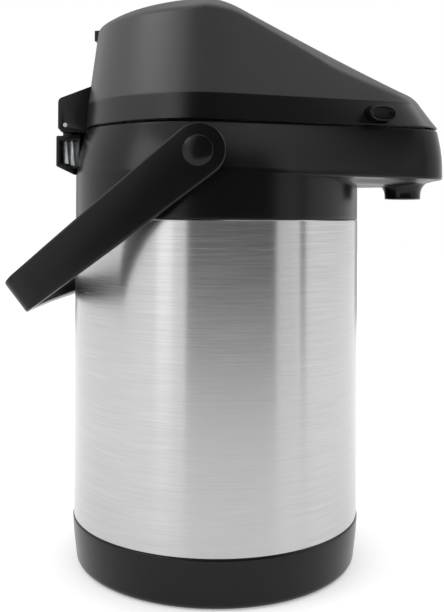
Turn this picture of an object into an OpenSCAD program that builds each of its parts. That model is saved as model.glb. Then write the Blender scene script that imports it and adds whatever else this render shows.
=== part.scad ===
// Push-button thermal airpot. +X points to the spout, +Z up, origin at the
// centre of the base's underside, on the axis of the steel body.

/* [Body] */
// Outside diameter of the steel shell
shell_d = 166; // [164:0.5:168]
// Height of the seam between base and steel
base_seam_z = 27; // [25:0.5:29]
// Height of the steel shell's visible top edge
shell_top_z = 197.3; // [190:0.1:200]
// Height of the crease where the head starts to flare into the beak
crease_z = 219.4; // [219:0.1:220]
// Height of the seam between head and lid
seam_z = 248.9; // [248.5:0.1:249.2]
// Inside radius of the mouth
mouth_r = 29; // [28:0.1:29.5]

/* [Lid] */
// Height of the lid's highest point
crown_z = 322.5; // [320:0.5:325]
// Distance from the axis to the beak's nose at the seam
nose_x = 128.5; // [127:0.5:130]
// Radius of the beak's nose
nose_r = 24.6; // [23:0.1:25]
// Downward slope of the lid's front, in degrees
slope_deg = 27.4; // [26:0.1:28]
// Radius of the pump button
button_r = 34.7; // [33:0.1:34.7]

/* [Handle] */
// Distance from the pivot to the middle of the grip
grip_reach = 119; // [118.5:0.1:121]
// Thickness of the strap
strap_t = 5; // [4:0.1:5]
// Angle of the resting handle below the horizontal, in degrees
rest_deg = 38.5; // [37:0.1:38.5]

/* [Hidden] */

$fn = 96;
eps = 0.01;

plastic = "#1c1c1e";
rubber = "#2b2b2b";
steel = "#b8babd";
grey = "#6c6e70";

shell_r = shell_d / 2;
steel_t = 0.8;
liner_t = 0.6;
wall = 2.5;

// base
base_top_r = shell_r + 0.5;
base_foot_r = 77;
base_corner = 4.5;
base_floor = 2.6;
rib_r = 69;
shell_foot_z = 20;
shell_foot_r = shell_r - 2.4;
foot_ring_r = [62, 70];
foot_ring_t = 1.4;
screw_circle = 40;
screw_angles = [0, 120, 240];
base_screw_r = 2;
base_head_r = 3.9;
boss_r = 6;
boss_h = 9;
nut_z = 13;
nut_r = 4;
liner_r = 76;
liner_corner = 12;
liner_foot_z = 27;

// neck and stopper
neck_r = mouth_r + 3.5;
rim_z = 232;
floor_z = 221.5;
floor_t = 2.5;
cup_r = 43;
cup_base_z = 234;
cup_lip_z = 246.8;
cup_t = 2.5;
stem_r = 9;
vent_circle = 17;
vent_r = 4;
pipe_r = 4.6;
pipe_t = 0.8;
pipe_start = 5;
ball_r = 3.4;
pipe_z = 238.8;
pipe_bend = 12;
nozzle_x = 109;
nozzle_r = 10.15;
nozzle_z = 209.2;
nozzle_t = 2;
nozzle_straight = 5;
nozzle_flare = 6;

// head
collar_r = shell_r - 0.2;
collar_bore = shell_r - 2.8;
head_top_z = seam_z - 0.6;
deck_z = 246;
deck_t = 2.5;
beak_z = 220;
lid_foot_z = seam_z + 0.6;
rear_a = 78.4;
rear_b = 71;
nose_c = nose_x - nose_r;
lid_posts = [[-52, 36], [-52, -36], [30, 44], [30, -44]];
post_r = 4;
lid_screw_r = 1.3;
lid_plate_t = 3.4;
lid_plate_gap = 3;

// hinge
hinge = [-86.6, 0, 251.6];
hinge_pin_r = 1.25;
hinge_half_w = 22;
tongue_half_w = 14;
tongue_r = 3.6;
hood_foot_z = 247.4;
hood_front_x = -70;
hood_corner = [-87.9, 264];
hood_corner_r = 3;
bracket_x = -91.8;
bracket_top_z = 245.3;
bracket_t = 2.8;
notch_x = -77.2;
notch_z = 226;

// pump, all on one upright line
pump_x = -26;
bellows_z = [253, 294];
plate_z = 294.2;
plunger_top = 316.1;
skirt_z = 306.5;
well_gap = 0.5;
well_t = 2;
well_foot_z = 285;
bellows_r = [29, 34];
bellows_folds = 5;
spring_r = 22;
spring_wire_r = 0.9;
spring_turns = 6;
plate_r = 30;
plate_t = 2.5;
rod_r = 9;
button_t = 2;

// latches
wall_deg = asin(nose_r / norm([nose_c, rear_b])) - atan2(rear_b, nose_c);
latch_x = 93.6;
latch_z = 255.6;
latch_y = rear_b + tan(wall_deg) * latch_x;
latch_size = [19, 9];
latch_flange = [23, 11.5];
latch_dish = [16.4, 6.4];
latch_hole = [20, 10];
latch_spring_r = 2.6;
latch_wire_r = 0.35;

// handle
pivot_z = 231.6;
pivot_boss_r = 12;
pivot_boss_y = 78;
pin_r = 4;
pin_start = 66;
cap_r = [8.75, 7.6, 4.5];
cap_h = [1.1, 0.5];
washer_r = 10;
arm_y = [85, 90];
arm_end_r = 14;
strap_w = 18.4;
bow_r = 1150;
waist_half = 7.25;
waist_rise = 2.4;

function arc(c, r, a0, a1, n = 12) =
    [for (i = [0:n]) c + r * [cos(a0 + (a1 - a0) * i / n), sin(a0 + (a1 - a0) * i / n)]];

function oval_arc(c, rx, ry, a0, a1, n = 12) =
    [for (i = [0:n]) c + [rx * cos(a0 + (a1 - a0) * i / n), ry * sin(a0 + (a1 - a0) * i / n)]];

// A skin of thickness t inside a profile that runs from its foot to its top
module turned_skin(profile, t) {
    foot = profile[0];
    top = profile[len(profile) - 1];
    over = 5;
    rotate_extrude() difference() {
        polygon(concat([[0, foot[1]]], profile, [[0, top[1]]]));
        offset(delta = -t)
            polygon(concat([[-over, foot[1] - over], [foot[0], foot[1] - over]], profile,
                           [[top[0], top[1] + over], [-over, top[1] + over]]));
    }
}

module ring(r0, r1, z0, z1) {
    translate([0, 0, z0]) difference() {
        cylinder(r = r1, h = z1 - z0);
        translate([0, 0, -1]) cylinder(r = r0, h = z1 - z0 + 2);
    }
}

module box(low, high) {
    translate(low) cube(high - low);
}

// Slot-shaped block along Y, as long as its round ends included
module pill(length, height, y0, y1) {
    half = (length - height) / 2;
    box([-half, y0, -height / 2], [half, y1, height / 2]);
    for (side = [-1, 1])
        translate([side * half, y0, 0]) rotate([-90, 0, 0]) cylinder(d = height, h = y1 - y0);
}

// Coil of wire along Z, swept as one closed solid
module coil(r, wire_r, height, turns, sides = 6, per_turn = 16) {
    steps = turns * per_turn;
    points = [
        for (i = [0:steps], k = [0:sides - 1])
            let (a = 360 * i / per_turn, b = 360 * k / sides, q = r + wire_r * cos(b))
                [q * cos(a), q * sin(a), wire_r + (height - 2 * wire_r) * i / steps + wire_r * sin(b)]
    ];
    sides_faces = [
        for (i = [0:steps - 1], k = [0:sides - 1])
            let (m = (k + 1) % sides)
                [i * sides + k, (i + 1) * sides + k, (i + 1) * sides + m, i * sides + m]
    ];
    first = [for (k = [0:sides - 1]) k];
    last = [for (k = [sides - 1:-1:0]) steps * sides + k];
    polyhedron(points, concat(sides_faces, [first, last]), convexity = 10);
}

// ---------------------------------------------------------------- base

module base_cover() color(plastic) {
    outside = concat([[0, 0]], arc([base_foot_r, base_corner], base_corner, -90, 0, 6),
                     arc([base_top_r - 1, base_seam_z - 1], 1, 0, 90, 4));
    inside = [
        [shell_foot_r + 0.2, base_seam_z], [shell_foot_r + 0.2, shell_foot_z - 1],
        [base_foot_r - 1, base_floor + 6], [base_foot_r - 6, base_floor], [0, base_floor]
    ];
    difference() {
        union() {
            rotate_extrude() polygon(concat(outside, inside));
            ring(rib_r - 2, rib_r, base_floor - eps, shell_foot_z);
            for (a = screw_angles)
                rotate(a) translate([screw_circle, 0, base_floor - eps])
                    cylinder(r = boss_r, h = boss_h);
        }
        ring(foot_ring_r[0], foot_ring_r[1], -1, foot_ring_t);
        for (a = screw_angles)
            rotate(a) translate([screw_circle, 0, -1]) {
                cylinder(r = base_screw_r + 0.1, h = 20);
                cylinder(r = base_head_r + 0.3, h = 6);
            }
    }
}

module foot_ring() color(rubber) ring(foot_ring_r[0], foot_ring_r[1], 0, foot_ring_t);

module base_screws() color(steel)
    for (a = screw_angles)
        rotate(a) translate([screw_circle, 0, 0]) {
            translate([0, 0, 3.2]) cylinder(r = base_head_r, h = 1.8);
            translate([0, 0, 4]) cylinder(r = base_screw_r, h = 14);
        }

module weld_nuts() color(steel)
    for (a = screw_angles)
        rotate(a) translate([screw_circle, 0, nut_z]) difference() {
            cylinder(r = nut_r, h = shell_foot_z - nut_z, $fn = 6);
            translate([0, 0, -1]) cylinder(r = base_screw_r, h = 20);
        }

// ---------------------------------------------------------------- steel vacuum body

module shell_bottom() color(steel) difference() {
    union() {
        translate([0, 0, shell_foot_z]) cylinder(r = shell_foot_r - steel_t, h = steel_t);
        ring(shell_foot_r - 2 * steel_t, shell_foot_r - steel_t, shell_foot_z, shell_foot_z + 5);
    }
    translate([0, 0, shell_foot_z - 1]) cylinder(r = 2, h = 5);
}

module getter_cap() color(steel) translate([0, 0, shell_foot_z + steel_t]) cylinder(r = 9, h = 1.6);

module outer_shell() color(steel)
    turned_skin(concat(
        [[shell_foot_r, shell_foot_z], [shell_foot_r, base_seam_z + 0.05],
         [shell_r, base_seam_z + 0.3], [shell_r, shell_top_z - 0.3],
         [collar_bore - 0.2, shell_top_z - 0.05]],
        oval_arc([neck_r + 14, shell_top_z + 5], collar_bore - 0.2 - neck_r - 14, 14, 0, 90, 10),
        [[neck_r, floor_z - 1.8], [neck_r, rim_z - liner_t]]
    ), steel_t);

module flask_liner() color(steel) {
    turned_skin(concat(
        arc([liner_r - liner_corner, liner_foot_z + liner_corner], liner_corner, -90, 0, 6),
        oval_arc([mouth_r + 14, 190], liner_r - mouth_r - 14, 20, 0, 90, 10),
        [[mouth_r + liner_t, 216], [mouth_r + liner_t, rim_z]]
    ), liner_t);
    translate([0, 0, liner_foot_z]) cylinder(r = liner_r - liner_corner, h = liner_t);
    ring(mouth_r, neck_r, rim_z - liner_t, rim_z);
}

// ---------------------------------------------------------------- mouth and outlet

module neck_ring() color(plastic) difference() {
    ring(neck_r + 0.1, neck_r + 7.5, floor_z + floor_t, rim_z - 0.5);
    for (a = [0:30:330])
        rotate(a) translate([neck_r + 8.5, 0, floor_z]) cylinder(r = 2, h = 20, $fn = 24);
}

module mouth_gasket() color(rubber) ring(mouth_r - 0.5, neck_r + 1, rim_z, cup_base_z);

module stem_holder() color(grey) difference() {
    union() {
        ring(mouth_r - 4, mouth_r - 1, rim_z - 7, cup_base_z + eps);
        translate([0, 0, cup_base_z]) cylinder(r = cup_r, h = cup_t);
        ring(cup_r - cup_t, cup_r, cup_base_z, cup_lip_z);
        translate([0, 0, rim_z - 8]) cylinder(r = stem_r, h = 22);
    }
    translate([0, 0, rim_z - 9]) cylinder(r = pipe_r, h = 8);
    translate([0, 0, rim_z - 9]) cylinder(r = pipe_r + 1.6, h = 4);
    translate([0, 0, rim_z - 2]) cylinder(r = pipe_r - 1, h = pipe_z - rim_z + 6);
    translate([pipe_start, 0, pipe_z]) rotate([0, 90, 0]) cylinder(r = pipe_r, h = 60);
    translate([0, 0, pipe_z]) rotate([0, 90, 0]) cylinder(r = pipe_r - 1, h = 6);
    for (a = [90, 150, 210, 270])
        rotate(a) translate([vent_circle, 0, cup_base_z - 1]) cylinder(r = vent_r, h = 5);
}

module dip_tube() color(steel) ring(pipe_r - pipe_t, pipe_r, liner_foot_z + 6, rim_z - 1);

module stem_o_ring() color(rubber)
    translate([0, 0, rim_z - 7.4]) rotate_extrude() translate([pipe_r + 0.8, 0]) circle(r = 0.8, $fn = 24);

module check_ball() color(steel) translate([0, 0, rim_z + 2.6]) sphere(r = ball_r, $fn = 32);

module pipe_section() difference() {
    circle(r = pipe_r, $fn = 48);
    circle(r = pipe_r - pipe_t, $fn = 48);
}

module spout_pipe() color(steel) {
    run_x = nozzle_x - pipe_bend;
    foot = nozzle_z + 3;
    translate([pipe_start, 0, pipe_z]) rotate([0, 90, 0])
        linear_extrude(run_x - pipe_start) pipe_section();
    translate([run_x, 0, pipe_z - pipe_bend]) rotate([90, 0, 0])
        rotate_extrude(angle = 90) translate([pipe_bend, 0]) pipe_section();
    translate([nozzle_x, 0, foot]) linear_extrude(pipe_z - pipe_bend - foot) pipe_section();
}

// ---------------------------------------------------------------- head

module rear_half(a, b, z, t = eps) translate([0, 0, z]) linear_extrude(t)
    polygon(oval_arc([0, 0], a, b, 90, 270, 24));

module nose_disc(x, r, z, t = eps) translate([x, 0, z]) cylinder(r = r, h = t, $fn = 48);

module head_form(inset, top) {
    hull() {
        translate([0, 0, crease_z]) cylinder(r = collar_r - inset, h = eps, $fn = 72);
        rear_half(rear_a - inset, rear_b - inset, top);
        nose_disc(nose_c - 45, 44 - inset, top);
    }
    hull() {
        nose_disc(20, 66 - inset, beak_z);
        nose_disc(nose_c + 3, nose_r - inset, beak_z);
        rear_half(rear_a - inset, rear_b - inset, top);
        nose_disc(nose_c, nose_r - inset, top);
    }
}

// Room for the hinge in the head's rear wall and deck
module head_notch() {
    side = hinge_half_w + 0.2;
    box([-95, -side, 222.4], [-81, side, notch_z + eps]);
    box([-95, -side, notch_z], [notch_x, side, 252]);
    box([-95, -hinge_half_w - 0.6, deck_z - eps], [-69, hinge_half_w + 0.6, 252]);
}

module latch_place(side) {
    mirror([0, side < 0 ? 1 : 0, 0]) translate([latch_x, latch_y, 0]) rotate(wall_deg) children();
}

module shoulder() color(plastic) difference() {
    union() {
        difference() {
            union() {
                translate([0, 0, shell_top_z]) cylinder(r = collar_r, h = crease_z - shell_top_z + eps);
                head_form(0, head_top_z);
            }
            difference() {
                head_form(wall, head_top_z + 1);
                box([-100, -100, deck_z - deck_t], [150, 100, deck_z]);
            }
            translate([0, 0, shell_top_z - 1]) cylinder(r = collar_bore, h = crease_z - shell_top_z + 1);
            translate([nozzle_x, 0, beak_z - 1]) cylinder(r = 18, h = 6);
        }
        ring(neck_r + 0.5, collar_bore + 0.5, floor_z, floor_z + floor_t);
        for (side = [-1, 1])
            translate([0, side * pivot_boss_y, pivot_z]) rotate([90, 0, 0])
                cylinder(r = pivot_boss_r, h = 2 * (arm_y[0] - 0.5 - pivot_boss_y), center = true);
    }
    translate([0, 0, deck_z - 5]) cylinder(r = cup_r + 0.8, h = 10);
    for (side = [-1, 1]) {
        translate([0, side * 60, pivot_z]) rotate([-side * 90, 0, 0]) cylinder(r = pin_r, h = 40);
        latch_place(side) box([-6, -9.4, deck_z - deck_t - 1], [6, -4.4, deck_z + 1]);
    }
    head_notch();
}

module spout_cover() color(plastic) difference() {
    union() {
        difference() {
            translate([0, 0, beak_z - 2.4]) linear_extrude(2.4) hull() {
                translate([nose_c + 3, 0]) circle(r = nose_r, $fn = 48);
                translate([60, 0]) circle(r = 44, $fn = 48);
            }
            translate([0, 0, beak_z - 5]) cylinder(r = collar_r + 0.1, h = 10);
        }
        translate([nozzle_x, 0, nozzle_z])
            cylinder(r1 = nozzle_r - 0.3, r2 = nozzle_r, h = nozzle_straight);
        translate([nozzle_x, 0, nozzle_z + nozzle_straight])
            cylinder(r1 = nozzle_r, r2 = nozzle_r + nozzle_flare, h = beak_z - nozzle_z - 6);
    }
    translate([nozzle_x, 0, nozzle_z - 1]) cylinder(r = nozzle_r - nozzle_t, h = 20);
}

// ---------------------------------------------------------------- hinge

module hinge_bracket() color(plastic) difference() {
    union() {
        rotate([90, 0, 0]) linear_extrude(2 * hinge_half_w, center = true)
            polygon([[bracket_x, 227.6], [bracket_x, bracket_top_z], [notch_x, bracket_top_z],
                     [notch_x, notch_z + 0.2], [-81.2, notch_z + 0.2], [-81.2, 222.6]]);
        translate(hinge) rotate([90, 0, 0]) cylinder(r = tongue_r, h = 2 * tongue_half_w, center = true);
        box([hinge[0] - tongue_r, -tongue_half_w, bracket_top_z - 2],
            [hinge[0] + tongue_r, tongue_half_w, hinge[2]]);
    }
    for (side = [-1, 1])
        translate([0, side * 13, 0]) rotate([90, 0, 0]) linear_extrude(24, center = true)
            polygon([[bracket_x + bracket_t, 229.4], [bracket_x + bracket_t, bracket_top_z - bracket_t],
                     [-79.6, bracket_top_z - bracket_t], [-79.6, notch_z + 2.4], [-82.5, 226.6]]);
    translate(hinge) rotate([90, 0, 0]) cylinder(r = hinge_pin_r, h = 100, center = true);
}

module hinge_pin() color(steel)
    translate(hinge) rotate([90, 0, 0]) cylinder(r = hinge_pin_r, h = 2 * hinge_half_w - 0.2, center = true);

// Hood on the lid, seen from the side: sloping top, rounded rear edge, cut foot at the rear
module hinge_cover_form(grow = 0) rotate([90, 0, 0])
    linear_extrude(2 * (hinge_half_w + grow), center = true)
        polygon(concat([[hood_front_x, hood_foot_z - grow], [hood_front_x, 274.2 + grow]],
                       arc(hood_corner, hood_corner_r + grow, 105, 180, 4),
                       [[-90.9 - grow, 249.8 - grow], [-88.7 - grow, hood_foot_z - grow]]));

module hinge_cover() color(plastic) difference() {
    inner = tongue_half_w + 0.6;
    hinge_cover_form();
    box([-88.4, -inner, 240], [-75, inner, 262]);
    box([-95, -inner, 240], [-84, inner, 258.5]);
    translate(hinge) rotate([90, 0, 0]) cylinder(r = hinge_pin_r + 0.05, h = 100, center = true);
}

// ---------------------------------------------------------------- handle pivots

module handle_washers() color(grey)
    for (side = [-1, 1])
        translate([0, side * (arm_y[0] - 0.4), pivot_z]) rotate([90, 0, 0]) difference() {
            cylinder(r = washer_r, h = 0.2, center = true);
            cylinder(r = pin_r, h = 1, center = true);
        }

module pivot_pin(side) translate([0, 0, pivot_z]) rotate([-side * 90, 0, 0]) {
    cap_foot = arm_y[1] + 0.3;
    translate([0, 0, pin_start]) cylinder(r = pin_r, h = cap_foot - pin_start);
    translate([0, 0, cap_foot]) cylinder(r1 = cap_r[0], r2 = cap_r[1], h = cap_h[0]);
    translate([0, 0, cap_foot + cap_h[0]]) cylinder(r1 = cap_r[1], r2 = cap_r[2], h = cap_h[1]);
}

module pivot_pin_left() color(plastic) pivot_pin(1);

module pivot_pin_right() color(plastic) pivot_pin(-1);

// ---------------------------------------------------------------- lid

// Everything under the crowned top and the sloping front
module roof(inset) {
    crown_r = 154;
    slope_r = 110;
    length_r = 260;
    translate([0, 0, crown_z - crown_r]) rotate([0, 90, 0])
        intersection() {
            cylinder(r = crown_r - inset, h = 400, center = true);
            translate([length_r - crown_r, 0, 8]) rotate([90, 0, 0])
                cylinder(r = length_r - inset, h = 400, center = true);
            rotate([0, slope_deg, 0]) translate([slope_r - crown_r, 0, 0])
                translate([crown_r * (1 - cos(slope_deg)) - 8 * sin(slope_deg), 0, 0])
                    cylinder(r = slope_r - inset, h = 600, center = true);
        }
}

module lid_walls(inset, foot) hull() {
    rear_half(rear_a - inset, rear_b - inset, foot);
    rear_half(rear_a - 1.4 - inset, rear_b - 0.5 - inset, 263);
    rear_half(67.8 - inset, 58 - inset, 330);
    nose_disc(nose_c, nose_r - inset, foot);
    nose_disc(96, 20.8 - inset, 265, 35);
}

module lid_cover() color(plastic) difference() {
    intersection() {
        lid_walls(0, lid_foot_z);
        roof(0);
    }
    difference() {
        intersection() {
            lid_walls(wall, lid_foot_z - 1);
            roof(wall);
        }
        translate([pump_x, 0, well_foot_z])
            cylinder(r = button_r + well_gap + well_t, h = 60);
        for (p = lid_posts)
            translate([p[0], p[1], lid_foot_z + lid_plate_t + 0.2]) cylinder(r = post_r, h = 90);
    }
    translate([pump_x, 0, well_foot_z - 1]) cylinder(r = button_r + well_gap, h = 60);
    for (p = lid_posts)
        translate([p[0], p[1], lid_foot_z]) cylinder(r = lid_screw_r, h = 14);
    hinge_cover_form(0.05);
    box([-80, -7.4, 302.6], [-60, 7.4, 309.9]);
    for (side = [-1, 1])
        latch_place(side) translate([0, 0, latch_z]) pill(latch_hole[0], latch_hole[1], -6, 6);
}

module lid_base() color(grey) difference() {
    union() {
        translate([0, 0, lid_foot_z]) linear_extrude(lid_plate_t) difference() {
            hull() {
                polygon(oval_arc([0, 0], rear_a - lid_plate_gap, rear_b - lid_plate_gap, 90, 270, 24));
                translate([nose_c - 4, 0]) circle(r = nose_r - lid_plate_gap, $fn = 48);
            }
            translate([-100, -hinge_half_w - 0.6]) square([30.6, 2 * hinge_half_w + 1.2]);
        }
        for (side = [-1, 1])
            latch_place(side) box([-5, -18, lid_foot_z], [5, -9.2, latch_z + 5]);
    }
    for (side = [-1, 1])
        latch_place(side) translate([0, -16, latch_z]) rotate([-90, 0, 0]) cylinder(r = 3.5, h = 20);
    translate([pump_x, 0, lid_foot_z - 1]) cylinder(r = 3, h = 10);
    for (p = lid_posts)
        translate([p[0], p[1], lid_foot_z - 1]) {
            cylinder(r = lid_screw_r + 0.4, h = 10);
            cylinder(r = lid_screw_r + 1.9, h = 2.4);
        }
    for (side = [-1, 1])
        latch_place(side) box([-12.2, -9.1, lid_foot_z - 1], [12.2, -2, lid_foot_z + 4]);
}

module lid_gasket() color(rubber) ring(37, cup_r, cup_lip_z + 0.3, lid_foot_z);

module air_valve() color(rubber) translate([pump_x, 0, 0]) {
    translate([0, 0, lid_foot_z - 1]) cylinder(r = 6, h = 1);
    translate([0, 0, lid_foot_z - eps]) cylinder(r = 1.5, h = lid_plate_t);
}

module bellows() color(rubber) translate([pump_x, 0, 0]) {
    pitch = (bellows_z[1] - bellows_z[0]) / bellows_folds;
    turned_skin([
        for (i = [0:2 * bellows_folds])
            [bellows_r[i % 2], bellows_z[0] + i * pitch / 2]
    ], 1);
}

module pump_spring() color(steel) translate([pump_x, 0, bellows_z[0]])
    coil(spring_r, spring_wire_r, bellows_z[1] - bellows_z[0], spring_turns);

module lid_screws() color(steel)
    for (p = lid_posts)
        translate([p[0], p[1], 0]) {
            translate([0, 0, lid_foot_z + 0.2]) cylinder(r = lid_screw_r + 1.7, h = 1.2);
            translate([0, 0, lid_foot_z + 1]) cylinder(r = lid_screw_r, h = 10);
        }

module push_button() color(plastic) difference() {
    intersection() {
        translate([pump_x, 0, skirt_z]) cylinder(r = button_r, h = 30);
        roof(0);
    }
    intersection() {
        translate([pump_x, 0, skirt_z - 1]) cylinder(r = button_r - button_t, h = 30);
        roof(wall);
    }
}

module plunger() color(grey) translate([pump_x, 0, 0]) {
    translate([0, 0, plate_z]) cylinder(r = plate_r, h = plate_t);
    translate([0, 0, plate_z]) cylinder(r = rod_r, h = plunger_top - plate_z);
    for (a = [0, 90])
        rotate(a) box([-18, -1, plate_z], [18, 1, 312]);
}

// Local frame of a latch: X along the beak's wall, Y outward
module latch_button(side) color(plastic) latch_place(side) translate([0, 0, latch_z]) {
    difference() {
        union() {
            pill(latch_size[0], latch_size[1], -5, 4.2);
            pill(latch_flange[0], latch_flange[1], -6.2, -4.6);
        }
        pill(latch_dish[0], latch_dish[1], 3, 5);
    }
    box([-4, -6.2, 242 - latch_z], [4, -4.6, 0]);
    box([-4, -4.7, 241.6 - latch_z], [4, -3.3, 243.2 - latch_z]);
}

module latch_button_left() latch_button(1);

module latch_button_right() latch_button(-1);

module latch_spring(side) color(steel) latch_place(side)
    translate([0, -12.6, latch_z]) rotate([-90, 0, 0])
        coil(latch_spring_r, latch_wire_r, 6.4, 4, 5, 12);

module latch_spring_left() latch_spring(1);

module latch_spring_right() latch_spring(-1);

module lock_slider() color(plastic) {
    box([-73.2, -7, 303], [-66, 7, 309.5]);
    box([-67, -5, 303], [-61.2, 5, 306]);
}

// ---------------------------------------------------------------- handle

// Plan of the strap seen square to its arms: a U whose grip bows outward
module strap_plan() {
    bow_c = grip_reach + strap_t / 2 - bow_r;
    difference() {
        union() {
            translate([-20, -arm_y[1]]) square([100, 2 * arm_y[1]]);
            intersection() {
                translate([bow_c, 0]) circle(r = bow_r, $fn = 360);
                translate([60, -arm_y[1]]) square([100, 2 * arm_y[1]]);
            }
        }
        translate([-30, -arm_y[0]]) square([100, 2 * arm_y[0]]);
        intersection() {
            translate([bow_c, 0]) circle(r = bow_r - strap_t, $fn = 360);
            translate([60, -arm_y[0]]) square([100, 2 * arm_y[0]]);
        }
    }
}

// Side of the strap: a round end that tapers to the grip
module strap_side() {
    tip = 130;
    polygon(concat(arc([0, 0], arm_end_r, 90, 270, 24),
                   [[tip, -strap_w / 2], [tip, strap_w / 2]]));
}

// Front of the strap: full width at the arms, with a waist in the middle of the grip
module strap_face() {
    half_y = arm_y[0] - 0.5;
    upper = [for (y = [-half_y:half_y / 8:half_y]) [y, waist_half + waist_rise * pow(y / half_y, 2)]];
    lower = [for (i = [len(upper) - 1:-1:0]) [upper[i][0], -upper[i][1]]];
    polygon(concat(upper, [[half_y, 20], [100, 20], [100, -20], [half_y, -20]], lower,
                   [[-half_y, -20], [-100, -20], [-100, 20], [-half_y, 20]]));
}

// The strap lies in its own plane: X along the arms, Y across, Z over its width
module handle() color(plastic) translate([0, 0, pivot_z]) rotate([0, 180 - rest_deg, 0])
    difference() {
        intersection() {
            linear_extrude(60, center = true) strap_plan();
            rotate([90, 0, 0]) linear_extrude(200, center = true) strap_side();
            translate([-50, 0, 0]) rotate([90, 0, 90]) linear_extrude(200) strap_face();
        }
        rotate([90, 0, 0]) cylinder(r = pin_r + 0.06, h = 400, center = true);
    }

base_cover();
foot_ring();
base_screws();
weld_nuts();
shell_bottom();
getter_cap();
outer_shell();
flask_liner();
neck_ring();
mouth_gasket();
stem_holder();
dip_tube();
stem_o_ring();
check_ball();
spout_pipe();
shoulder();
spout_cover();
hinge_bracket();
hinge_pin();
handle_washers();
pivot_pin_left();
pivot_pin_right();
lid_cover();
hinge_cover();
lid_base();
lid_gasket();
air_valve();
bellows();
pump_spring();
lid_screws();
push_button();
plunger();
latch_button_left();
latch_button_right();
latch_spring_left();
latch_spring_right();
lock_slider();
handle();
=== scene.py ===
"""Push-button thermal airpot: brushed steel body, black head with a beak, hinged lid and strap handle.

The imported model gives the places. Every new piece is a surface worked out with numpy in millimetres
and stored in metres, in the model's own frame: +X to the spout, +Z up, Z = 0 on the counter.
"""

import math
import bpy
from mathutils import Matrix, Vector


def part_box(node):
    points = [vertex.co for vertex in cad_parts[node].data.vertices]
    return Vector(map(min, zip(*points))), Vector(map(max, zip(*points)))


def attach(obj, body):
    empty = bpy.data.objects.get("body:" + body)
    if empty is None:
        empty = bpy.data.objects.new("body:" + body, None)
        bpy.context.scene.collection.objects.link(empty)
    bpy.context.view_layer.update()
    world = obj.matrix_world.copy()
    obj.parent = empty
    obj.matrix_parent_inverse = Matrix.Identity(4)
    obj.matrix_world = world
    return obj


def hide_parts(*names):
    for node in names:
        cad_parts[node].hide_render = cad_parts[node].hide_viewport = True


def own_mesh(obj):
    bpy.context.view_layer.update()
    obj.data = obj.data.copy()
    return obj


bl_info = {
    "name": "Push-Button Airpot",
    "version": (1, 0, 0),
    "blender": (4, 5, 0),
    "location": "3D View > Sidebar > Airpot",
    "description": "Builds the shells, handle, hinge and finishes of a push-button airpot around its frame",
    "category": "Add Mesh",
}

import bmesh
import bpy
import numpy as np
from mathutils import Euler, Matrix, Vector

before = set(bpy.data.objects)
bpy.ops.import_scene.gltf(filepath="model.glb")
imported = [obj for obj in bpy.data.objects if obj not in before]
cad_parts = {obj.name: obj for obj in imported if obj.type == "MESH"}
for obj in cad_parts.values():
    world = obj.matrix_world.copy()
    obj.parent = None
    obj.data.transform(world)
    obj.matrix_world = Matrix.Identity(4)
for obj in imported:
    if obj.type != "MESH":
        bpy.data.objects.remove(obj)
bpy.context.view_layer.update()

MM = 0.001
AROUND = 192


def box_mm(node):
    """Lowest and highest corner of a CAD node, in millimetres."""
    low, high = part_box(node)
    return np.array(low) / MM, np.array(high) / MM


# Places read from the frame

HEAD_LOW, HEAD_HIGH = box_mm("shoulder")
BUTTON_LOW, BUTTON_HIGH = box_mm("push_button")
BRACKET_LOW, BRACKET_HIGH = box_mm("hinge_bracket")
COVER_LOW = box_mm("hinge_cover")[0]
LID_FOOT = box_mm("lid_cover")[0][2]
SHELL_R = box_mm("outer_shell")[1][0]
ARM_OUT = box_mm("handle")[1][1]
PIVOT_Z = sum(box_mm("pivot_pin_left"))[2] / 2
HINGE_X, _, HINGE_Z = sum(box_mm("hinge_pin")) / 2
BUTTON_X = (BUTTON_LOW[0] + BUTTON_HIGH[0]) / 2
BUTTON_R = (BUTTON_HIGH[0] - BUTTON_LOW[0]) / 2
SEAM_FOOT = HEAD_HIGH[2]
BEAK_NOSE = HEAD_HIGH[0]

# Sizes of the outer forms, in millimetres

WALL = 2.5
SEAM_LONG, SEAM_WIDE = 78.4, 71
COLLAR_TOP = HEAD_LOW[2] + 22.1
BEAK_LOW = 220.3
NOZZLE_X = 109.0
WELL_FLOOR = 285
DECK_TOP, DECK_LOW = 246, 243.5
LATCH_Z, LATCH_SLIDE = 255.6, 1.4
BRACKET_TOP, BRACKET_REAR, HINGE_HALF = 245.3, -81.2, 22
FOLD_LOW, FOLD_HIGH = 253, 294
ARM_Y = 87.5
BASE_SCREW_R = 40
NECK_R = 32.5


# Shapes: (points, faces)

def grid_shape(points, wrap=True, close=False, caps=False):
    """Faces between neighbouring rows and columns of a grid of points.

    wrap joins the last column to the first, close the last row to the first, and caps fills both end rows.
    """
    rows, cols = points.shape[:2]
    index = np.arange(rows * cols).reshape(rows, cols)
    ring = np.concatenate([index, index[:, :1]], 1) if wrap else index
    ring = np.concatenate([ring, ring[:1]], 0) if close else ring
    quads = np.stack([ring[:-1, :-1], ring[:-1, 1:], ring[1:, 1:], ring[1:, :-1]], -1).reshape(-1, 4)
    faces = quads.tolist()
    if caps:
        faces += [index[0][::-1].tolist(), index[-1].tolist()]
    return points.reshape(-1, 3), faces


def joined(*shapes):
    """Several shapes as one list of points and faces."""
    points, faces, start = [], [], 0
    for own_points, own_faces in shapes:
        points.append(own_points)
        faces += [[start + i for i in face] for face in own_faces]
        start += len(own_points)
    return np.concatenate(points), faces


def moved(shape, offset=(0, 0, 0), turn=None):
    """A shape turned by a 3 by 3 matrix and then moved."""
    points, faces = shape
    if turn is not None:
        points = points @ np.array(turn, float).T
    return points + np.array(offset, float), faces


def turn_z(degrees):
    """Matrix of a turn about Z."""
    c, s = math.cos(math.radians(degrees)), math.sin(math.radians(degrees))
    return [[c, -s, 0], [s, c, 0], [0, 0, 1]]


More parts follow.
